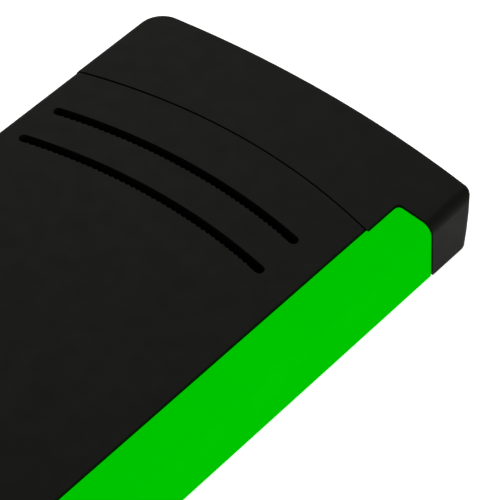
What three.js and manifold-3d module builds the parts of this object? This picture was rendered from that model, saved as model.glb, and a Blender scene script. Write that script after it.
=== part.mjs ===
// A slim wall-mounted RFID card reader: a black moulded housing whose top end is a full-height hood,
// a snap-on front cover with two curved sound slots, and a green light bar wrapped round its right
// edge. Inside are the reader board, its antenna, a sounder, a tamper switch and a DIP switch, and
// behind it is the wall plate that it hooks on to. Millimetres. It lies on its back: +Z comes out of
// the front, +Y points to the hooded top end, and the origin is the centre of the back.
import * as THREE from "three";
import { mergeVertices } from "three/addons/utils/BufferGeometryUtils.js";
import Module from "manifold-3d";

const wasm = await Module();
wasm.setup();

// Driving dimensions.
const WIDTH = 80;
const LENGTH = 126;
const THICKNESS = 13;
const END_RADIUS = 254; // plan curve of both ends
const CORNER_RADIUS = 5.5;
const BAR_SIDE_CORNER_RADIUS = 3; // the corners on the light bar's side are tighter
const EDGE_ROUND = 1.2; // round-over of the front edges
const BAR_EDGE_ROUND = 2.3; // and of the long edge that the light bar follows
const HOOD_TAPER = 1.3; // how far the hood's end curves in towards its back
const HOOD_TAPER_FROM_Y = 50;
const WALL = 1.8;
const GAP = 0.3; // parting gap between neighbouring shells

const COVER_ARC_RADIUS = 127; // the top seam and both slots share this curve
const SEAM_APEX_Y = 43.2;
const CHIN_SEAM_APEX_Y = -55.5;
const SEAM_LEAN = 0.18; // degrees; the seam is a little wider at its left end
const COVER_BASE_Z = 9.6; // the cover's skirt reaches down to here
const COVER_INSET = 0.22; // the hood stands this much prouder than the cover
const COVER_UNDERSIDE_Z = 11.2;

const SLOT_WIDTH = 1.9;
const SLOT_APEX_YS = [31.0, 21.6];
const SLOT_LEFT_X = -35.5;
const SLOT_RIGHT_X = 23.4;

const BAR_LEFT_X = 31.1; // the bar's inner edge beside the cover
const BAR_NOTCH_X = 31.6; // and where it sits in the hood
const BAR_STEP_Y = 39.3;
const BAR_TOP_Y = 47.7;
const BAR_END_SLOPE = 0.07;
const BAR_END_RADIUS = 1.2;
const BAR_BOTTOM_Y = -52;
const BAR_BASE_Z = 0.05;
const BAR_WALL = 2;
const BAR_GAP = 0.42;
const COVER_TO_BAR = 0.35;

// The wall plate and what holds the reader on it.
const RECESS_TOP_Z = 1.8; // ceiling of the pocket that takes the plate
const FLOOR_TOP_Z = 3.2;
const PLATE_THICKNESS = 1.2;
const PLATE_HALF_WIDTH = 35;
const PLATE_TOP_Y = 57.4;
const PLATE_BOTTOM_Y = -59;
const PLATE_HOLES = [[-24, 36], [24, 36], [0, 44], [-24, -36], [24, -36], [0, -44]];
const PIVOT_Y = 57; // the reader tilts about this line on the wall
const TILT_LIMIT = 12; // degrees
const HOOK_XS = [-20, 20];
const HOOK = { halfWidth: 4, stemY: 55, thickness: 1.2, tipY: 58.4, topZ: 5.3 };
const LOCK = { z: 6.5, tabY: -57.8, thickness: 1.2, topZ: 8.6, halfWidth: 5, radius: 1.5 };
const WINDOW = { left: -15, right: 15, bottom: 10, top: 31 };

// The board and what is on it.
const BOARD_BASE_Z = 5;
const BOARD_TOP_Z = 6.4;
const BOARD = { left: -35.5, right: 36, bottom: -50, top: 46 };
const BOARD_SCREWS = [[-32, 43], [28, 43], [-32, -46.5], [28, -46.5]];
const COIL = { left: -34, right: 33, bottom: -43, top: 5.5, width: 3.4 };
const TAMPER = { x: -24, y: 9, bodyTopZ: 9.3, tipZ: 10.3, radius: 0.9 };
const DIP = { x: 14, y: 14, halfWidth: 5.6, topZ: 8.8, channelZ: 8 };
const DIP_SLIDER_XS = [-3.9, -1.3, 1.3, 3.9].map((step) => DIP.x + step);
const TERMINAL = { left: -10.4, right: 10.4, bottom: 22.6, top: 30.4, baseZ: 1.4, screwY: 27.6 };
const TERMINAL_XS = [-7.5, -2.5, 2.5, 7.5];
const CAPACITOR_XS = [6, 14];
const LED_COUNT = 6;
const LED_FIRST_Y = -44;
const LED_PITCH = 17;

const ARC_SEGMENTS = 12;
const ROUND_SEGMENTS = 16;
const BIG = 200; // larger than the object, for cutting tools

// Materials.
const blackPlastic = new THREE.MeshStandardMaterial({ color: 0x1b1b1a, roughness: 0.62 });
const greenLight = new THREE.MeshStandardMaterial({ color: 0x00c400, roughness: 0.45 });
const whitePlastic = new THREE.MeshStandardMaterial({ color: 0xe4e4de, roughness: 0.5 });
const boardGreen = new THREE.MeshStandardMaterial({ color: 0x14512c, roughness: 0.45 });
const chipBlack = new THREE.MeshStandardMaterial({ color: 0x161616, roughness: 0.5 });
const copper = new THREE.MeshStandardMaterial({ color: 0xb5672f, roughness: 0.3, metalness: 1 });
const steel = new THREE.MeshStandardMaterial({ color: 0xa8aaac, roughness: 0.35, metalness: 1 });
const meshCloth = new THREE.MeshStandardMaterial({ color: 0x0c0c0c, roughness: 0.9 });
const ferriteGrey = new THREE.MeshStandardMaterial({ color: 0x33353a, roughness: 0.6 });
const dipBlue = new THREE.MeshStandardMaterial({ color: 0x1f4fa8, roughness: 0.45 });
const tan = new THREE.MeshStandardMaterial({ color: 0xb98a45, roughness: 0.5 });

const reader = new THREE.Group();

// A closed three.js geometry as a solid that can be cut and joined.
function solid(geometry) {
  const bare = geometry.clone();
  bare.deleteAttribute("normal");
  bare.deleteAttribute("uv");
  const merged = mergeVertices(bare, 1e-4);
  return new wasm.Manifold(
    new wasm.Mesh({
      numProp: 3,
      vertProperties: new Float32Array(merged.attributes.position.array),
      triVerts: new Uint32Array(merged.index.array),
    }),
  );
}

// A finished solid, or a geometry, as a named piece of the reader.
function addPiece(name, shape, material) {
  let geometry = shape;
  if (!shape.isBufferGeometry) {
    const made = shape.getMesh();
    geometry = new THREE.BufferGeometry();
    geometry.setAttribute("position", new THREE.BufferAttribute(made.vertProperties, 3));
    geometry.setIndex(new THREE.BufferAttribute(made.triVerts, 1));
    geometry.computeVertexNormals();
  }
  const mesh = new THREE.Mesh(geometry, material);
  mesh.name = name;
  reader.add(mesh);
}

function boxGeometry(x0, x1, y0, y1, z0, z1) {
  return new THREE.BoxGeometry(x1 - x0, y1 - y0, z1 - z0).translate(
    (x0 + x1) / 2, (y0 + y1) / 2, (z0 + z1) / 2,
  );
}

const box = (...limits) => solid(boxGeometry(...limits));

// An upright cylinder, or one lying along Y.
function cylinder(radius, x, y, z0, z1) {
  const geometry = new THREE.CylinderGeometry(radius, radius, z1 - z0, ROUND_SEGMENTS);
  return solid(geometry.rotateX(Math.PI / 2).translate(x, y, (z0 + z1) / 2));
}

function cylinderAlongY(radius, x, z, y0, y1) {
  const geometry = new THREE.CylinderGeometry(radius, radius, y1 - y0, ROUND_SEGMENTS);
  return solid(geometry.translate(x, (y0 + y1) / 2, z));
}

function prism(shape, z0, z1) {
  const options = { depth: z1 - z0, bevelEnabled: false, curveSegments: ARC_SEGMENTS };
  return solid(new THREE.ExtrudeGeometry(shape, options).translate(0, 0, z0));
}

// The reader's plan outline: bowed ends and filleted corners, drawn in by an inset.
function outline(inset) {
  const shape = new THREE.Shape();
  const arcCentreY = LENGTH / 2 - END_RADIUS;
  const corner = (cornerRadius) => {
    const x = WIDTH / 2 - cornerRadius;
    const y = arcCentreY + Math.sqrt((END_RADIUS - cornerRadius) ** 2 - x ** 2);
    return { x, y, radius: cornerRadius - inset, turn: Math.atan2(y - arcCentreY, x) };
  };
  const right = corner(BAR_SIDE_CORNER_RADIUS);
  const left = corner(CORNER_RADIUS);
  const endRadius = END_RADIUS - inset;
  const full = 2 * Math.PI;
  shape.absarc(right.x, right.y, right.radius, 0, right.turn, false);
  shape.absarc(0, arcCentreY, endRadius, right.turn, Math.PI - left.turn, false);
  shape.absarc(-left.x, left.y, left.radius, Math.PI - left.turn, Math.PI, false);
  shape.lineTo(-WIDTH / 2 + inset, HOOD_TAPER_FROM_Y);
  shape.absarc(-left.x, -left.y, left.radius, Math.PI, Math.PI + left.turn, false);
  shape.absarc(0, -arcCentreY, endRadius, Math.PI + left.turn, full - right.turn, false);
  shape.absarc(right.x, -right.y, right.radius, full - right.turn, full, false);
  shape.lineTo(WIDTH / 2 - inset, HOOD_TAPER_FROM_Y);
  return shape;
}

// Everything left of the light bar's rounded long edge.
function barEdgeLimit() {
  const edgeX = WIDTH / 2;
  const shape = new THREE.Shape();
  shape.moveTo(-edgeX - 1, -1);
  shape.lineTo(edgeX, -1);
  shape.absarc(
    edgeX - BAR_EDGE_ROUND, THICKNESS - BAR_EDGE_ROUND, BAR_EDGE_ROUND, 0, Math.PI / 2, false);
  shape.lineTo(-edgeX - 1, THICKNESS);
  shape.closePath();
  const turned = new THREE.ExtrudeGeometry(shape, {
    depth: LENGTH + 4,
    bevelEnabled: false,
    curveSegments: 6,
  });
  return solid(turned.rotateX(Math.PI / 2).translate(0, LENGTH / 2 + 2, 0));
}

// The whole outer block: rounded front edges, square back, and the hood's end sloping in.
function outerBlock(inset) {
  const options = {
    depth: THICKNESS,
    bevelEnabled: true,
    bevelThickness: EDGE_ROUND,
    bevelSize: EDGE_ROUND,
    bevelOffset: -EDGE_ROUND,
    bevelSegments: 4,
    steps: 3,
    curveSegments: ARC_SEGMENTS,
  };
  const geometry = new THREE.ExtrudeGeometry(outline(inset), options);
  geometry.translate(0, 0, -EDGE_ROUND);
  const place = geometry.attributes.position;
  for (let index = 0; index < place.count; index += 1) {
    const y = place.getY(index);
    if (y < HOOD_TAPER_FROM_Y + 1) continue;
    const drawnIn = (1 - place.getZ(index) / THICKNESS) ** 2;
    place.setY(index, y - HOOD_TAPER * drawnIn);
  }
  const block = solid(geometry).subtract(box(-BIG, BIG, -BIG, BIG, -BIG, 0));
  return block.intersect(barEdgeLimit());
}

// The plan region under a bowed line whose crown is at apexY, down to bottomY.
function belowArc(apexY, radius, left, right, bottomY) {
  const centreY = apexY - radius;
  const rightAngle = Math.acos(right / radius);
  const leftAngle = Math.acos(left / radius);
  const shape = new THREE.Shape();
  shape.moveTo(left, bottomY);
  shape.lineTo(right, bottomY);
  shape.absarc(0, centreY, radius, rightAngle, leftAngle, false);
  shape.closePath();
  return shape;
}

// The plan region between the top seam and the chin seam, drawn in by a gap, above a level.
function coverRegion(gap, right, baseZ) {
  const left = -WIDTH / 2 - 5;
  const top = belowArc(
    SEAM_APEX_Y - gap, COVER_ARC_RADIUS - gap, left, right + 2, -LENGTH);
  const chin = belowArc(-CHIN_SEAM_APEX_Y - gap, END_RADIUS - gap, left, right, -LENGTH);
  const chinSolid = prism(chin, baseZ, BIG).rotate([0, 0, 180]).mirror([1, 0, 0]);
  const lean = gap > 0 ? SEAM_LEAN : 0;
  return prism(top, baseZ, BIG).rotate([0, 0, lean]).intersect(chinSolid);
}

// The light bar's plan: its far end sits in a notch of the hood, a step further out.
function barPlan(outset) {
  const left = BAR_LEFT_X - outset;
  const notchLeft = BAR_NOTCH_X - outset;
  const farY = BAR_TOP_Y + outset;
  const shape = new THREE.Shape();
  shape.moveTo(left, BAR_BOTTOM_Y - outset);
  shape.lineTo(WIDTH, BAR_BOTTOM_Y - outset);
  shape.lineTo(WIDTH, farY - BAR_END_SLOPE * (WIDTH - notchLeft));
  shape.lineTo(notchLeft + BAR_END_RADIUS, farY);
  shape.quadraticCurveTo(notchLeft, farY, notchLeft, farY - BAR_END_RADIUS);
  shape.lineTo(notchLeft, BAR_STEP_Y);
  shape.lineTo(left, BAR_STEP_Y);
  shape.closePath();
  return shape;
}

// One bowed slot, with round ends, as a band between two arcs.
function slotShape(apexY) {
  const radius = COVER_ARC_RADIUS;
  const centreY = apexY - radius;
  const half = SLOT_WIDTH / 2;
  const rightAngle = Math.acos((SLOT_RIGHT_X - half) / radius);
  const leftAngle = Math.acos((SLOT_LEFT_X + half) / radius);
  const endAt = (angle) => [radius * Math.cos(angle), centreY + radius * Math.sin(angle)];
  const [leftX, leftY] = endAt(leftAngle);
  const [rightX, rightY] = endAt(rightAngle);
  const shape = new THREE.Shape();
  shape.absarc(0, centreY, radius + half, rightAngle, leftAngle, false);
  shape.absarc(leftX, leftY, half, leftAngle, leftAngle + Math.PI, false);
  shape.absarc(0, centreY, radius - half, leftAngle, rightAngle, true);
  shape.absarc(rightX, rightY, half, rightAngle + Math.PI, rightAngle + 2 * Math.PI, false);
  return shape;
}

// The housing: floor, walls, full-height hood and chin, with pockets for the cover, bar and plate.
function housing() {
  const coverSpace = coverRegion(0, BAR_LEFT_X + 0.5, COVER_BASE_Z);
  const barSpace = prism(barPlan(BAR_GAP), BAR_BASE_Z - 1, BIG);
  const barEdge = WIDTH / 2 - BAR_WALL - 0.3;
  let made = outerBlock(0)
    .subtract(prism(outline(WALL), FLOOR_TOP_Z, COVER_UNDERSIDE_Z))
    .subtract(coverSpace)
    .subtract(barSpace.intersect(box(0, BIG, -BIG, BIG, COVER_UNDERSIDE_Z - 0.2, BIG)))
    .subtract(barSpace.intersect(box(barEdge, BIG, -BIG, BIG, -1, BIG)));
  for (const [x, y] of BOARD_SCREWS)
    made = made.add(cylinder(2.4, x, y, FLOOR_TOP_Z - 0.5, BOARD_BASE_Z));
  made = made.subtract(box(
    -PLATE_HALF_WIDTH - 0.5, PLATE_HALF_WIDTH + 0.5,
    PLATE_BOTTOM_Y - 0.5, PLATE_TOP_Y + 0.5, -1, RECESS_TOP_Z));
  for (const [x, y] of BOARD_SCREWS)
    made = made.subtract(cylinder(1.1, x, y, FLOOR_TOP_Z - 0.6, BOARD_BASE_Z + 1));
  for (const x of HOOK_XS)
    made = made.subtract(box(
      x - HOOK.halfWidth - 0.6, x + HOOK.halfWidth + 0.6,
      HOOK.stemY - 1.4, HOOK.stemY + HOOK.thickness + 0.8, 0, FLOOR_TOP_Z + 1));
  const tiltRelief = box(-BIG, BIG, 0, 40, -20, 0).rotate([TILT_LIMIT + 1, 0, 0]);
  return made
    .subtract(box(
      -LOCK.halfWidth - 0.8, LOCK.halfWidth + 0.8,
      LOCK.tabY - LOCK.thickness - 0.8, LOCK.tabY + 1.6, 0, FLOOR_TOP_Z + 1))
    .subtract(box(WINDOW.left, WINDOW.right, WINDOW.bottom, WINDOW.top, 0, FLOOR_TOP_Z + 1))
    .subtract(cylinderAlongY(LOCK.radius + 0.05, 0, LOCK.z, -LENGTH, LOCK.tabY))
    .subtract(tiltRelief.translate(0, PIVOT_Y, 0));
}

// The front cover: a shallow lid whose left edge wraps over, with two slots and a tamper post.
function frontCover() {
  const right = BAR_LEFT_X - COVER_TO_BAR;
  const lid = outerBlock(COVER_INSET).intersect(coverRegion(GAP, right, COVER_BASE_Z + GAP));
  const pocket = prism(outline(WALL + 0.6), 0, COVER_UNDERSIDE_Z)
    .intersect(coverRegion(1.4, right - 1.2, 0));
  let made = lid.subtract(pocket);
  for (const apexY of SLOT_APEX_YS)
    made = made.subtract(prism(slotShape(apexY), 0, BIG));
  const postBottom = TAMPER.tipZ + 0.3;
  return made.add(cylinder(1.6, TAMPER.x, TAMPER.y, postBottom, COVER_UNDERSIDE_Z + 0.3));
}

// The light bar: an L-shaped translucent moulding round the right-hand edge.
function lightBar() {
  const span = prism(barPlan(0), BAR_BASE_Z, BIG);
  const inside = box(-BIG, WIDTH / 2 - BAR_WALL, -BIG, BIG, -1, COVER_UNDERSIDE_Z);
  return outerBlock(0).intersect(span).subtract(inside);
}

// The wall plate: sheet steel with two hooks, a locking tab, a cable window and fixing holes.
function wallPlate() {
  let made = box(
    -PLATE_HALF_WIDTH, PLATE_HALF_WIDTH, PLATE_BOTTOM_Y, PLATE_TOP_Y, 0, PLATE_THICKNESS);
  made = made.subtract(box(WINDOW.left, WINDOW.right, WINDOW.bottom, WINDOW.top, -1, BIG));
  for (const [x, y] of PLATE_HOLES)
    made = made.subtract(cylinder(2.3, x, y, -1, BIG));
  for (const x of HOOK_XS) {
    const left = x - HOOK.halfWidth;
    const right = x + HOOK.halfWidth;
    const stemEnd = HOOK.stemY + HOOK.thickness;
    made = made
      .add(box(left, right, HOOK.stemY, stemEnd, 0, HOOK.topZ))
      .add(box(left, right, HOOK.stemY, HOOK.tipY, HOOK.topZ - HOOK.thickness, HOOK.topZ));
  }
  const tabBack = LOCK.tabY - LOCK.thickness;
  return made
    .add(box(-LOCK.halfWidth, LOCK.halfWidth, tabBack, LOCK.tabY, 0, LOCK.topZ))
    .subtract(cylinderAlongY(LOCK.radius + 0.2, 0, LOCK.z, tabBack - 1, LOCK.tabY + 1));
}

// The locking screw in the bottom wall: headless, with a hex socket, and clear of the tab.
function lockScrew() {
  const socket = new THREE.CylinderGeometry(1, 1, 1.2, 6).translate(0, -LENGTH / 2 + 0.9, LOCK.z);
  const endY = -LENGTH / 2 + 0.4;
  return cylinderAlongY(LOCK.radius, 0, LOCK.z, endY, LOCK.tabY - LOCK.thickness - 0.4)
    .subtract(solid(socket));
}

// The reader board with its four fixing holes.
function readerBoard() {
  let made = box(
    BOARD.left, BOARD.right, BOARD.bottom, BOARD.top, BOARD_BASE_Z + GAP, BOARD_TOP_Z);
  for (const [x, y] of BOARD_SCREWS)
    made = made.subtract(cylinder(1.4, x, y, 0, BIG));
  return made;
}

function boardScrew(x, y) {
  const head = cylinder(2, x, y, BOARD_TOP_Z + 0.05, BOARD_TOP_Z + 1.4);
  const recess = box(x - 1, x + 1, y - 0.3, y + 0.3, BOARD_TOP_Z + 0.8, BIG)
    .add(box(x - 0.3, x + 0.3, y - 1, y + 1, BOARD_TOP_Z + 0.8, BIG));
  return head.add(cylinder(1, x, y, 3.4, BOARD_TOP_Z + 0.5)).subtract(recess);
}

// The antenna: a flat rectangular winding on the board.
function antennaCoil() {
  const { left, right, bottom, top, width } = COIL;
  const base = BOARD_TOP_Z + 0.05;
  return box(left, right, bottom, top, base, base + 0.3).subtract(
    box(left + width, right - width, bottom + width, top - width, 0, BIG));
}

// The tamper switch and the sprung plunger that runs in it.
function tamperSwitch() {
  const { x, y } = TAMPER;
  return box(x - 3, x + 3, y - 3, y + 3, BOARD_TOP_Z + 0.05, TAMPER.bodyTopZ).subtract(
    cylinder(TAMPER.radius + 0.08, x, y, BOARD_TOP_Z + 0.5, BIG));
}

function tamperPlunger() {
  return cylinder(TAMPER.radius, TAMPER.x, TAMPER.y, BOARD_TOP_Z + 1.4, TAMPER.tipZ);
}

// The DIP switch body with a channel for each slider.
function dipSwitch() {
  let made = box(
    DIP.x - DIP.halfWidth, DIP.x + DIP.halfWidth, DIP.y - 3, DIP.y + 3,
    BOARD_TOP_Z + 0.05, DIP.topZ);
  for (const x of DIP_SLIDER_XS)
    made = made.subtract(box(x - 0.75, x + 0.75, DIP.y - 1.6, DIP.y + 1.6, DIP.channelZ, BIG));
  return made;
}

function dipSlider(x) {
  const startY = DIP.y - 1.4;
  return boxGeometry(
    x - 0.6, x + 0.6, startY, startY + 1.4, DIP.channelZ + 0.05, DIP.topZ + 0.3);
}

// The terminal block on the back of the board, inside the cable window.
function terminalBlock() {
  const { left, right, bottom, top, baseZ } = TERMINAL;
  let made = box(left, right, bottom, top, baseZ, BOARD_BASE_Z + GAP - 0.05);
  for (const x of TERMINAL_XS) {
    made = made.subtract(cylinder(1.5, x, TERMINAL.screwY, -1, baseZ + 1.6));
    made = made.subtract(box(x - 1.3, x + 1.3, bottom - 1, bottom + 1.6, baseZ + 0.7, baseZ + 2.6));
  }
  return made;
}

function terminalScrew(x) {
  const { screwY, baseZ } = TERMINAL;
  return cylinder(1.35, x, screwY, baseZ + 0.3, baseZ + 1.5).subtract(
    box(x - 2, x + 2, screwY - 0.25, screwY + 0.25, 0, baseZ + 0.8));
}

addPiece("wall_plate", wallPlate(), steel);
addPiece("housing", housing(), blackPlastic);
addPiece("front_cover", frontCover(), blackPlastic);
addPiece("light_bar", lightBar(), greenLight);
addPiece("slot_mesh", boxGeometry(-37.2, 26, 12.5, 33.4, 10.7, 11.1), meshCloth);
addPiece("lock_screw", lockScrew(), steel);

addPiece("reader_board", readerBoard(), boardGreen);
BOARD_SCREWS.forEach(([x, y], index) => {
  addPiece(`board_screw_${index + 1}`, boardScrew(x, y), steel);
});
addPiece("antenna_coil", antennaCoil(), copper);
addPiece("ferrite_sheet", boxGeometry(-26, 26, -44, 4, 4.3, 5), ferriteGrey);
const chipBase = BOARD_TOP_Z + 0.05;
addPiece("controller_chip", boxGeometry(-9, 1, -22, -12, chipBase, chipBase + 1.4), chipBlack);
addPiece("radio_chip", boxGeometry(8, 14, -18, -12, chipBase, chipBase + 1), chipBlack);
addPiece("crystal", boxGeometry(-4, 1, -8, -5, chipBase, chipBase + 1.2), steel);
addPiece("sounder", cylinder(6, -6, 27, chipBase, chipBase + 3.8), chipBlack);
CAPACITOR_XS.forEach((x, index) => {
  addPiece(`capacitor_${index + 1}`, cylinder(2.5, x, 38, chipBase, chipBase + 4), tan);
});
for (let index = 0; index < LED_COUNT; index += 1) {
  const y = LED_FIRST_Y + index * LED_PITCH;
  addPiece(
    `light_led_${index + 1}`, boxGeometry(34, 36, y - 1.6, y + 1.6, chipBase, 7.6), whitePlastic);
}

addPiece("tamper_switch", tamperSwitch(), chipBlack);
addPiece("tamper_plunger", tamperPlunger(), whitePlastic);
addPiece("dip_switch", dipSwitch(), dipBlue);
DIP_SLIDER_XS.forEach((x, index) => {
  addPiece(`dip_slider_${index + 1}`, dipSlider(x), whitePlastic);
});
addPiece("terminal_block", terminalBlock(), boardGreen);
TERMINAL_XS.forEach((x, index) => {
  addPiece(`terminal_screw_${index + 1}`, terminalScrew(x), steel);
});

export default reader;
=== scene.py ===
import math

import bmesh
import bpy
from mathutils import Matrix, Vector


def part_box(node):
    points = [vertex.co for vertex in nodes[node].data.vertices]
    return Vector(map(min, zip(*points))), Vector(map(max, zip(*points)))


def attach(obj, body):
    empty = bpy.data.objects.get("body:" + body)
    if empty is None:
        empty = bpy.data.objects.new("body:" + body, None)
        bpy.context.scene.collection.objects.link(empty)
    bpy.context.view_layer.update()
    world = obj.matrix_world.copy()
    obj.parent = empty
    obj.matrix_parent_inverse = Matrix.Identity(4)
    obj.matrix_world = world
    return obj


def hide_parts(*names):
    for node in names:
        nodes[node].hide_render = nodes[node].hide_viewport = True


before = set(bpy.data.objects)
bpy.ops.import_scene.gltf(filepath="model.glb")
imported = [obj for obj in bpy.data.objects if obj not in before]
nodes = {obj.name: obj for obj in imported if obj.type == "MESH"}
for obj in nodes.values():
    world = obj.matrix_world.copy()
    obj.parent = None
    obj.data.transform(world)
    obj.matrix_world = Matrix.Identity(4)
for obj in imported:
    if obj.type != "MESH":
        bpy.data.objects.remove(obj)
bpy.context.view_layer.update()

# ---- Housing -------------------------------------------------------------------------------
# The rear shell with its full-height hood at the top end and a chin at the bottom. It is one
# injection moulding in black plastic, spark-eroded in the tool so that it comes out with a fine
# matte grain and slightly softened parting edges.


class Wire:
    """A socket of a material, so that the maths on it reads as an expression."""

    def __init__(self, socket):
        self.socket = socket

    def node(self, kind, settings=None, output=0, **inputs):
        """Any node in this socket's material: its type, its settings, and its sockets by name."""
        made = self.socket.id_data.nodes.new(kind)
        for name, value in (settings or {}).items():
            setattr(made, name, value)
        for name, value in inputs.items():
            into = made.inputs[int(name[1:])] if name[1:].isdigit() else made.inputs[name]
            if isinstance(value, Wire):
                self.socket.id_data.links.new(value.socket, into)
            else:
                into.default_value = value
        return Wire(made.outputs[output])

    def maths(self, operation, first, second):
        return self.node("ShaderNodeMath", {"operation": operation}, _0=first, _1=second)

    def __add__(self, other):
        return self.maths("ADD", self, other)

    __radd__ = __add__

    def __sub__(self, other):
        return self.maths("SUBTRACT", self, other)

    def __rsub__(self, other):
        return self.maths("SUBTRACT", other, self)

    def __mul__(self, other):
        return self.maths("MULTIPLY", self, other)

    __rmul__ = __mul__

    def __truediv__(self, other):
        return self.maths("DIVIDE", self, other)

    def feeds(self, name):
        """Joins this value to a socket of the material's shader."""
        shader = self.socket.id_data.nodes["Principled BSDF"]
        self.socket.id_data.links.new(self.socket, shader.inputs[name])


def start_finish(name, roughness, metallic=0.0, specular=0.5):
    """A new material with its even values set, and the point on the piece, in metres."""
    finish = bpy.data.materials.new(name)
    finish.use_nodes = True
    shader = finish.node_tree.nodes["Principled BSDF"]
    shader.inputs["Roughness"].default_value = roughness
    shader.inputs["Metallic"].default_value = metallic
    shader.inputs["Specular IOR Level"].default_value = specular
    place = finish.node_tree.nodes.new("ShaderNodeTexCoord")
    return finish, Wire(place.outputs["Object"])


def cloudy(place, size, detail=2.0):
    """Soft blotches of a size in metres, from 0 to 1."""
    return place.node("ShaderNodeTexNoise", Vector=place, Scale=1 / size, Detail=detail)


def between(low, high, amount):
    """A colour part way from low to high."""
    mixed = amount.node("ShaderNodeMix", {"data_type": "RGBA"}, output=2, _0=amount)
    for place, colour in ((6, low), (7, high)):
        mixed.socket.node.inputs[place].default_value = (*colour, 1)
    return mixed


def raised(height, depth, strength=1.0):
    """A bumped normal from a height of 0 to 1, that deep in metres."""
    return height.node("ShaderNodeBump", Height=height, Distance=depth, Strength=strength)


def moulded_black(name, darkest, palest, roughness, grain_depth):
    """The fine-grained black plastic: blotched a little in colour, and grained all over."""
    finish, place = start_finish(name, roughness, specular=0.11)
    between(darkest, palest, cloudy(place, 0.012)).feeds("Base Color")
    (roughness - 0.05 + cloudy(place, 0.004) * 0.1).feeds("Roughness")
    raised(cloudy(place, 0.00045, 3.0), grain_depth).feeds("Normal")
    return finish


WELD_DISTANCE = 2e-6
FLAT_ANGLE = math.radians(0.6)
SMOOTH_ANGLE = math.radians(30)
EDGE_ANGLE = math.radians(50)
FLAT_FACE_WEIGHT = 90
HOUSING_EDGE = 0.00012


def smooth(piece):
    """Smooth shading that breaks at sharp edges and keeps flat faces flat."""
    bpy.context.view_layer.objects.active = piece
    piece.select_set(True)
    bpy.ops.object.shade_smooth_by_angle(angle=SMOOTH_ANGLE)
    flats = piece.modifiers.new("Flat faces stay flat", "WEIGHTED_NORMAL")
    flats.keep_sharp = True
    flats.weight = FLAT_FACE_WEIGHT
    bpy.ops.object.modifier_apply(modifier=flats.name)


def visible_copy(node, name, edge, finish):
    """A CAD node's shape with its edges broken, smooth shading and a finish, in its place."""
    bpy.ops.object.select_all(action="DESELECT")
    piece = bpy.data.objects.new(name, nodes[node].data.copy())
    bpy.context.scene.collection.objects.link(piece)
    mesh = bmesh.new()
    mesh.from_mesh(piece.data)
    bmesh.ops.remove_doubles(mesh, verts=mesh.verts, dist=WELD_DISTANCE)
    bmesh.ops.dissolve_limit(mesh, angle_limit=FLAT_ANGLE, verts=mesh.verts, edges=mesh.edges)
    mesh.to_mesh(piece.data)
    mesh.free()
    bpy.context.view_layer.objects.active = piece
    piece.select_set(True)
    if edge:
        broken = piece.modifiers.new("Broken edge", "BEVEL")
        broken.width = edge
        broken.segments = 2
        broken.limit_method = "ANGLE"
        broken.angle_limit = EDGE_ANGLE
        bpy.ops.object.modifier_apply(modifier=broken.name)
    smooth(piece)
    piece.data.materials.clear()
    piece.data.materials.append(finish)
    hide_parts(node)
    return piece


housing_black = moulded_black(
    "Moulded black", (0.0062, 0.0062, 0.0048), (0.0080, 0.0080, 0.0063), 0.68, 0.00002)
housing = visible_copy("housing", "housing_shell", HOUSING_EDGE, housing_black)
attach(housing, "reader")

# ---- Front cover ---------------------------------------------------------------------------
# The panel over the aerial and sounder. It is moulded in the same black plastic, snaps into the
# housing below the hood with a hairline seam, and has two bowed slots that let the sound out.
cover_black = moulded_black(
    "Cover black", (0.0060, 0.0060, 0.0046), (0.0076, 0.0076, 0.0060), 0.68, 0.00002)
cover = visible_copy("front_cover", "cover_panel", HOUSING_EDGE, cover_black)
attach(cover, "cover")

# ---- Slot teeth ----------------------------------------------------------------------------
# A row of small teeth along the lower edge of each slot. They are part of the cover's moulding
# and stiffen the long free edge. One is shaped and the rest of the row are its copies.
SLOT_CURVE = 0.127
SLOT_HALF_WIDTH = 0.00095
SLOT_CROWNS = (0.0310, 0.0216)
SLOT_ENDS = (-0.0330, 0.0210)
TOOTH_PITCH = 0.00125
TOOTH_WIDTH = 0.00058
TOOTH_REACH = 0.00024
TOOTH_ROOT = 0.00006
TOOTH_BASE = 0.01135
TOOTH_TOP = 0.01290
TOOTH_ROUNDING = 0.00008


def settle(name, body, finish):
    """Puts the piece being worked on at the origin with its place in its mesh, and on its body."""
    piece = bpy.context.active_object
    bpy.ops.object.mode_set(mode="OBJECT")
    bpy.ops.object.transform_apply(location=True, rotation=True, scale=True)
    piece.name = name
    piece.data.materials.clear()
    piece.data.materials.append(finish)
    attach(piece, body)
    return piece


def copied(first, placed):
    """A copy of a piece with its own mesh, moved and turned in that mesh."""
    copy = bpy.data.objects.new(first.name, first.data.copy())
    bpy.context.scene.collection.objects.link(copy)
    copy.data.transform(placed)
    return copy


def join_copies(first, copies):
    """Drops the pattern piece and joins its copies into one, which is left active."""
    bpy.ops.object.select_all(action="DESELECT")
    bpy.data.objects.remove(first)
    for piece in copies:
        piece.select_set(True)
    bpy.context.view_layer.objects.active = copies[0]
    bpy.ops.object.join()


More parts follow.
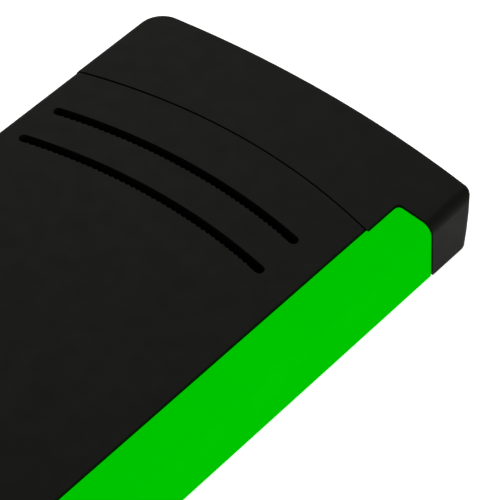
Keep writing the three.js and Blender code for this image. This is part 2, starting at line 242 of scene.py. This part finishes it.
for number, crown in enumerate(SLOT_CROWNS, 1):
    wall = SLOT_CURVE - SLOT_HALF_WIDTH
    bpy.ops.object.select_all(action="DESELECT")
    bpy.ops.mesh.primitive_cube_add(
        size=1,
        location=(0, wall + (TOOTH_REACH - TOOTH_ROOT) / 2, (TOOTH_BASE + TOOTH_TOP) / 2),
        scale=(TOOTH_WIDTH, TOOTH_REACH + TOOTH_ROOT, TOOTH_TOP - TOOTH_BASE))
    bpy.ops.object.transform_apply(location=True, rotation=True, scale=True)
    tooth = bpy.context.active_object
    to_slot = Matrix.Translation((0, crown - SLOT_CURVE, 0))
    teeth = []
    for step in range(int((SLOT_ENDS[1] - SLOT_ENDS[0]) / TOOTH_PITCH)):
        bearing = math.asin((SLOT_ENDS[0] + step * TOOTH_PITCH) / wall)
        teeth.append(copied(tooth, to_slot @ Matrix.Rotation(-bearing, 4, "Z")))
    join_copies(tooth, teeth)
    row = settle(f"slot_teeth_{number}", "cover", cover_black)
    rounded = row.modifiers.new("Rounded", "BEVEL")
    rounded.width = TOOTH_ROUNDING
    rounded.segments = 2
    bpy.ops.object.modifier_apply(modifier=rounded.name)

# ---- Slot cloth ----------------------------------------------------------------------------
# A strip of woven black acoustic cloth glued behind the slots, to keep dust off the sounder. Its
# colour is set near zero, far darker than cloth, as painted shade down in the slots, so its weave
# barely shows.
THREAD_PITCH = 0.0006
slot_cloth_painted_shade, place = start_finish("Acoustic cloth with painted slot shade", 0.9, specular=0.0)
weave = place.node("ShaderNodeTexChecker", output=1, Vector=place, Scale=1 / THREAD_PITCH)
# Painted shade: these near-zero colours make the cloth darker than real cloth, standing in for the
# shade at the bottom of the slots.
between((0.0002, 0.0002, 0.0002), (0.0012, 0.0012, 0.0011), weave).feeds("Base Color")
raised(weave, 0.0001).feeds("Normal")
nodes["slot_mesh"].data.materials.clear()
nodes["slot_mesh"].data.materials.append(slot_cloth_painted_shade)

# ---- Light bar -----------------------------------------------------------------------------
# A clear-green light guide, L-shaped in section, clipped along the right-hand edge with its far
# end let into the hood. The lamps on the board fill it, so it glows evenly from end to end.
BAR_EDGE = 0.0003
lit_green, place = start_finish("Lit green", 0.55, specular=0.0)
between((0.0, 0.02, 0.0), (0.0, 0.03, 0.0), cloudy(place, 0.01)).feeds("Base Color")
between((0.0, 0.515, 0.0), (0.0, 0.550, 0.0), cloudy(place, 0.02)).feeds("Emission Color")
lit_green.node_tree.nodes["Principled BSDF"].inputs["Emission Strength"].default_value = 1.0
bar = visible_copy("light_bar", "light_guide", BAR_EDGE, lit_green)
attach(bar, "reader")

# ---- Wall plate ----------------------------------------------------------------------------
# The plate that is screwed to the wall: 1.2 mm steel sheet, punched, with two hooks and a locking
# tab bent up from it, then zinc plated. The reader hangs on its hooks.
PLATE_EDGE = 0.00012
SPANGLE_SIZE = 0.005
zinc_plate, place = start_finish("Zinc plate", 0.38, metallic=1.0)
rolled = place.node("ShaderNodeMapping", Vector=place, Scale=(1.0, 0.04, 1.0))
grain = cloudy(rolled, 0.0006, 4.0)
spangle = place.node("ShaderNodeTexVoronoi", output=1, Vector=place, Scale=1 / SPANGLE_SIZE)
spangle_grey = spangle.node("ShaderNodeRGBToBW", Color=spangle)
blend = spangle_grey * 0.5 + grain * 0.5
between((0.40, 0.41, 0.42), (0.56, 0.57, 0.58), blend).feeds("Base Color")
(0.26 + grain * 0.2 + spangle_grey * 0.06).feeds("Roughness")
raised(grain, 0.00001).feeds("Normal")
plate = visible_copy("wall_plate", "wall_plate_sheet", PLATE_EDGE, zinc_plate)
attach(plate, "wall_mount")

# ---- Screws --------------------------------------------------------------------------------
# The locking screw in the bottom wall, the board's four screws and the terminals' clamping
# screws. All are turned steel, plated, with slight swirl marks where the tool has faced them.
screw_steel, place = start_finish("Screw steel", 0.34, metallic=1.0)
turned = cloudy(place, 0.0003, 3.0)
between((0.30, 0.31, 0.32), (0.47, 0.48, 0.49), turned).feeds("Base Color")
(0.24 + turned * 0.2).feeds("Roughness")


def finish_node(node, finish):
    """Gives a CAD piece that shows as it is its finish, in place of the plain one."""
    nodes[node].data.materials.clear()
    nodes[node].data.materials.append(finish)


finish_node("lock_screw", screw_steel)
for number in range(1, 5):
    finish_node(f"board_screw_{number}", screw_steel)
    finish_node(f"terminal_screw_{number}", screw_steel)

# ---- Reader board --------------------------------------------------------------------------
# The circuit board: glass-fibre laminate under green solder resist. Its tracks lie below the
# resist, so they show as slightly paler, raised lines that run in steps along both axes.
TRACK_PITCH = 0.0016
TRACK_SHARE = 0.3
TRACK_PATCH = 0.009
board_green, place = start_finish("Board green", 0.35)
axes = place.node("ShaderNodeSeparateXYZ", Vector=place)
across = Wire(axes.socket.node.outputs["X"])
along = Wire(axes.socket.node.outputs["Y"])
patch = place.node(
    "ShaderNodeTexVoronoi", {"distance": "CHEBYCHEV"}, output=1, Vector=place,
    Scale=1 / TRACK_PATCH)
patch_grey = patch.node("ShaderNodeRGBToBW", Color=patch)
sideways = patch_grey.node(
    "ShaderNodeMath", {"operation": "GREATER_THAN"}, _0=patch_grey, _1=0.5)
running = (across * sideways + along * (1 - sideways)) / TRACK_PITCH
lane = running.node("ShaderNodeMath", {"operation": "FRACT"}, _0=running)
track = lane.node("ShaderNodeMath", {"operation": "LESS_THAN"}, _0=lane, _1=TRACK_SHARE)
between((0.006, 0.060, 0.022), (0.014, 0.115, 0.045), track).feeds("Base Color")
raised(track, 0.00003).feeds("Normal")
finish_node("reader_board", board_green)

# ---- Aerial winding ------------------------------------------------------------------------
# Eight flat turns of copper etched round the lower half of the board. A field made here reaches
# out through the cover to the card. The ferrite sheet behind it keeps it off the wall plate.
TURN_PITCH = 0.000425
COPPER_SHARE = 0.62
low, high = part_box("antenna_coil")
middle = (low + high) / 2
half = (high - low) / 2
winding, place = start_finish("Copper winding", 0.3, metallic=1.0)
axes = place.node("ShaderNodeSeparateXYZ", Vector=place)
off_middle = Wire(axes.socket.node.outputs["X"]) - middle.x
across = off_middle.node("ShaderNodeMath", {"operation": "ABSOLUTE"}, _0=off_middle) - half.x
off_middle = Wire(axes.socket.node.outputs["Y"]) - middle.y
along = off_middle.node("ShaderNodeMath", {"operation": "ABSOLUTE"}, _0=off_middle) - half.y
edge = across.node("ShaderNodeMath", {"operation": "MAXIMUM"}, _0=across, _1=along)
inward = edge / TURN_PITCH
lane = inward.node("ShaderNodeMath", {"operation": "FRACT"}, _0=inward)
turn = lane.node("ShaderNodeMath", {"operation": "LESS_THAN"}, _0=lane, _1=COPPER_SHARE)
between((0.008, 0.070, 0.026), (0.62, 0.24, 0.09), turn).feeds("Base Color")
(0.15 + turn * 0.85).feeds("Metallic")
raised(turn, 0.00004).feeds("Normal")
finish_node("antenna_coil", winding)

ferrite, place = start_finish("Ferrite sheet", 0.55)
pressed = cloudy(place, 0.0015, 4.0)
between((0.018, 0.018, 0.020), (0.045, 0.046, 0.050), pressed).feeds("Base Color")
finish_node("ferrite_sheet", ferrite)

# ---- Chips ---------------------------------------------------------------------------------
# The controller and the radio chip: black epoxy packages moulded over their lead frames, with
# short flat legs of tinned copper soldered down on all four sides.
PACKAGE_EDGE = 0.00015
LEG_MARGIN = 0.001
epoxy_black, place = start_finish("Epoxy black", 0.5, specular=0.3)
mottled = cloudy(place, 0.0005, 3.0)
between((0.010, 0.010, 0.010), (0.020, 0.020, 0.021), mottled).feeds("Base Color")
raised(mottled, 0.00001).feeds("Normal")
tinned, place = start_finish("Tinned leg", 0.3, metallic=1.0)
between((0.55, 0.55, 0.54), (0.72, 0.72, 0.70), cloudy(place, 0.0004)).feeds("Base Color")

LEG_PITCH = 0.0008
LEG_WIDTH = 0.00035
LEG_REACH = 0.0009
LEG_THICKNESS = 0.00015


def chip_legs(node):
    """All the legs of one square chip: one is made and the rest are its turned copies."""
    low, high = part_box(node)
    centre = (low + high) / 2
    half = (high - low) / 2
    count = int((2 * half.x - LEG_MARGIN) / LEG_PITCH)
    bpy.ops.object.select_all(action="DESELECT")
    bpy.ops.mesh.primitive_cube_add(
        size=1, location=(half.x + LEG_REACH / 2, 0, low.z + LEG_THICKNESS / 2),
        scale=(LEG_REACH, LEG_WIDTH, LEG_THICKNESS))
    bpy.ops.object.transform_apply(location=True, rotation=True, scale=True)
    leg = bpy.context.active_object
    legs = []
    for side in range(4):
        to_side = Matrix.Translation((centre.x, centre.y, 0))
        to_side @= Matrix.Rotation(side * math.pi / 2, 4, "Z")
        for step in range(count):
            offset = (step - (count - 1) / 2) * LEG_PITCH
            legs.append(copied(leg, to_side @ Matrix.Translation((0, offset, 0))))
    join_copies(leg, legs)
    return settle(f"{node}_legs", "reader", tinned)


for node in ("controller_chip", "radio_chip"):
    package = visible_copy(node, f"{node}_package", PACKAGE_EDGE, epoxy_black)
    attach(package, "reader")
    chip_legs(node)

# ---- Chip resistors ------------------------------------------------------------------------
# The small surface-mounted resistors round the two chips. Each is a ceramic block with a black
# face and a tinned cap at each end, soldered flat to the board.
RESISTOR_LENGTH = 0.0020
RESISTOR_WIDTH = 0.0012
RESISTOR_HEIGHT = 0.0005
RESISTOR_CAP = 0.3 * RESISTOR_LENGTH
RESISTOR_PLACES = (
    (-0.0130, -0.0150), (-0.0130, -0.0185), (0.0040, -0.0100), (0.0040, -0.0240),
    (0.0085, -0.0080), (0.0130, -0.0080), (0.0170, -0.0165), (0.0170, -0.0130),
    (-0.0080, -0.0270), (-0.0030, -0.0270), (0.0210, 0.0230), (0.0210, 0.0270),
    (0.0210, 0.0310), (-0.0180, 0.0320), (-0.0220, 0.0320), (-0.0260, 0.0320),
)
board_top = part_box("reader_board")[1].z


def add_block(low, high):
    """A block between two corners, made ready for shaping, with nothing else selected."""
    bpy.ops.object.select_all(action="DESELECT")
    bpy.ops.mesh.primitive_cube_add(
        size=1, location=(Vector(low) + Vector(high)) / 2, scale=Vector(high) - Vector(low))
    bpy.ops.object.transform_apply(location=True, rotation=True, scale=True)
    return bpy.context.active_object


for number, (x, y) in enumerate(RESISTOR_PLACES, 1):
    reach = Vector((RESISTOR_LENGTH / 2, RESISTOR_WIDTH / 2, 0))
    resistor = add_block(
        Vector((x, y, board_top)) - reach,
        Vector((x, y, board_top + RESISTOR_HEIGHT)) + reach)
    bpy.ops.object.mode_set(mode="EDIT")
    for side in (-1, 1):
        bpy.ops.mesh.select_all(action="SELECT")
        bpy.ops.mesh.bisect(
            plane_co=(x + side * RESISTOR_CAP, y, board_top), plane_no=(1, 0, 0))
    bpy.ops.object.mode_set(mode="OBJECT")
    settle(f"resistor_{number}", "reader", epoxy_black)
    resistor.data.materials.append(tinned)
    for face in resistor.data.polygons:
        if abs(face.center.x - x) > RESISTOR_CAP:
            face.material_index = 1

# ---- Crystal, capacitors and sounder -------------------------------------------------------
# The timing crystal in its pressed steel can, two electrolytic capacitors in aluminium cans and
# the piezo sounder in a black plastic drum. The sounder has a small hole in the middle of its top.
CAN_EDGE = 0.0004
can_steel, place = start_finish("Pressed can", 0.28, metallic=1.0)
between((0.58, 0.58, 0.57), (0.70, 0.70, 0.69), cloudy(place, 0.0008)).feeds("Base Color")
crystal = visible_copy("crystal", "crystal_can", CAN_EDGE, can_steel)
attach(crystal, "reader")
can_aluminium, place = start_finish("Capacitor can", 0.5, metallic=1.0)
between((0.34, 0.35, 0.36), (0.44, 0.45, 0.46), cloudy(place, 0.0009)).feeds("Base Color")
for number in (1, 2):
    can = visible_copy(f"capacitor_{number}", f"capacitor_can_{number}", CAN_EDGE, can_aluminium)
    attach(can, "reader")
SOUND_HOLE = 0.0009
SOUND_HOLE_DEPTH = 0.0012
SQUARE_ON = 0.99
FACE_DEPTH = 0.0001


def select_faces(piece, chosen):
    """In edit mode, selects just the faces whose centre and normal are chosen."""
    bpy.ops.object.mode_set(mode="EDIT")
    bpy.ops.mesh.select_mode(type="FACE")
    bpy.ops.mesh.select_all(action="DESELECT")
    shape = bmesh.from_edit_mesh(piece.data)
    for face in shape.faces:
        face.select_set(chosen(face.calc_center_median(), face.normal))
    bmesh.update_edit_mesh(piece.data)


drum = visible_copy("sounder", "sounder_drum", CAN_EDGE, epoxy_black)
low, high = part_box("sounder")
bpy.ops.object.select_all(action="DESELECT")
bpy.context.view_layer.objects.active = drum
drum.select_set(True)
select_faces(
    drum, lambda centre, normal: normal.z > SQUARE_ON and centre.z > high.z - FACE_DEPTH)
bpy.ops.mesh.inset(thickness=(high.x - low.x) / 2 - CAN_EDGE - SOUND_HOLE)
bpy.ops.mesh.extrude_region_move(TRANSFORM_OT_translate={"value": (0, 0, -SOUND_HOLE_DEPTH)})
bpy.ops.mesh.customdata_custom_splitnormals_clear()
bpy.ops.object.mode_set(mode="OBJECT")
smooth(drum)
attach(drum, "reader")

# ---- Bar lamps -----------------------------------------------------------------------------
# Six side-looking lamps along the board's right edge that fill the light bar. Each is a white
# reflector cup with a clear green face, and the face glows.
CUP_EDGE = 0.00015
CUP_RIM = 0.0002
FACE_SUNK = 0.0002
lamp_white, place = start_finish("Lamp reflector", 0.4)
between((0.70, 0.70, 0.66), (0.80, 0.80, 0.77), cloudy(place, 0.001)).feeds("Base Color")
for number in range(1, 7):
    cup = visible_copy(f"light_led_{number}", f"lamp_cup_{number}", CUP_EDGE, lamp_white)
    low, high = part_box(f"light_led_{number}")
    bpy.ops.object.select_all(action="DESELECT")
    bpy.context.view_layer.objects.active = cup
    cup.select_set(True)
    select_faces(
        cup, lambda centre, normal: normal.x > SQUARE_ON and centre.x > high.x - FACE_DEPTH)
    bpy.ops.mesh.inset(thickness=CUP_RIM)
    cup.data.materials.append(lit_green)
    cup.active_material_index = 1
    bpy.ops.object.material_slot_assign()
    bpy.ops.mesh.extrude_region_move(TRANSFORM_OT_translate={"value": (-FACE_SUNK, 0, 0)})
    bpy.ops.mesh.customdata_custom_splitnormals_clear()
    bpy.ops.object.mode_set(mode="OBJECT")
    smooth(cup)
    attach(cup, "reader")

# ---- Switches and terminals ----------------------------------------------------------------
# The tamper switch under the cover with its sprung white button, the setting switches with
# their white sliders, and the terminals that take the wires in the cable window. All are moulded.
SWITCH_EDGE = 0.0001
BUTTON_EDGE = 0.0002
slider_white, place = start_finish("Slider white", 0.4)
between((0.62, 0.62, 0.59), (0.74, 0.74, 0.71), cloudy(place, 0.0012)).feeds("Base Color")
switch_blue, place = start_finish("Switch blue", 0.42)
between((0.012, 0.066, 0.30), (0.018, 0.088, 0.37), cloudy(place, 0.0012)).feeds("Base Color")
terminal_green, place = start_finish("Terminal green", 0.45)
between((0.012, 0.16, 0.05), (0.018, 0.21, 0.07), cloudy(place, 0.0015)).feeds("Base Color")
for node, name, finish, slot in (
    ("tamper_switch", "tamper_switch_body", epoxy_black, "chip"),
    ("dip_switch", "setting_switch_body", switch_blue, "dip_blue"),
    ("terminal_block", "terminal_strip", terminal_green, "terminal_green"),
):
    moulding = visible_copy(node, name, SWITCH_EDGE, finish)
    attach(moulding, "reader")
plunger = visible_copy("tamper_plunger", "tamper_button", BUTTON_EDGE, slider_white)
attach(plunger, "tamper_plunger")
for number in range(1, 5):
    slider = visible_copy(
        f"dip_slider_{number}", f"setting_slider_{number}", SWITCH_EDGE, slider_white)
    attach(slider, f"dip_slider_{number}")

# ---- Floor, light and camera ---------------------------------------------------------------
# A plain white floor and big soft lights, with a long lens on the upper end of the reader.
bpy.ops.object.select_all(action="DESELECT")
FLOOR_SIZE = 6
FLOOR_DROP = 0.0004
bpy.ops.mesh.primitive_plane_add(size=FLOOR_SIZE, location=(0, 0, -FLOOR_DROP))
floor = bpy.context.active_object
floor.name = "Floor"
floor_white = bpy.data.materials.new("Floor white")
floor_white.use_nodes = True
floor_shader = floor_white.node_tree.nodes["Principled BSDF"]
floor_shader.inputs["Base Color"].default_value = (0.95, 0.95, 0.95, 1)
floor_shader.inputs["Roughness"].default_value = 0.9
floor_shader.inputs["Emission Color"].default_value = (1, 1, 1, 1)
floor_shader.inputs["Emission Strength"].default_value = 0.85
floor.data.materials.append(floor_white)

sky = bpy.data.worlds.new("Soft white")
sky.use_nodes = True
sky.node_tree.nodes["Background"].inputs["Color"].default_value = (1, 1, 1, 1)
sky.node_tree.nodes["Background"].inputs["Strength"].default_value = 0.18
bpy.context.scene.world = sky
bpy.context.scene.view_settings.view_transform = "Standard"


def soft_light(name, location, size, watts):
    """A square soft box that faces the reader."""
    bpy.ops.object.light_add(type="AREA", location=location)
    lamp = bpy.context.active_object
    lamp.name = name
    lamp.data.size = size
    lamp.data.energy = watts
    lamp.rotation_euler = Vector(location).to_track_quat("Z", "Y").to_euler()
    return lamp


soft_light("Key soft box", (-0.34, 0.27, 0.36), 0.34, 1.3)
soft_light("Fill soft box", (0.8, -0.2, 0.5), 0.8, 0.15)
soft_light("Side soft box", (0.65, 0.47, 0.43), 0.5, 1.1)

CAMERA_DISTANCE = 0.521354
CAMERA_RIGHT = 0.00702
CAMERA_DOWN = 0.00439
CAMERA_LENS = 198.32
bearing = math.radians(43.998)
height = math.radians(46.621)
roll = math.radians(-3.493)
backward = Vector((
    math.sin(bearing) * math.cos(height),
    -math.cos(bearing) * math.cos(height),
    math.sin(height)))
level = Vector((0, 0, 1)).cross(backward).normalized()
upward = backward.cross(level)
rightward = level * math.cos(roll) + upward * math.sin(roll)
upright = upward * math.cos(roll) - level * math.sin(roll)
target = Vector((0, 0.03102, 0))
bpy.ops.object.camera_add()
camera = bpy.context.active_object
camera.location = (
    target + rightward * CAMERA_RIGHT - upright * CAMERA_DOWN + backward * CAMERA_DISTANCE)
camera.rotation_euler = Matrix((rightward, upright, backward)).transposed().to_euler()
camera.data.sensor_width = 36
camera.data.lens = CAMERA_LENS
camera.data.clip_start = 0.01
bpy.context.scene.camera = camera
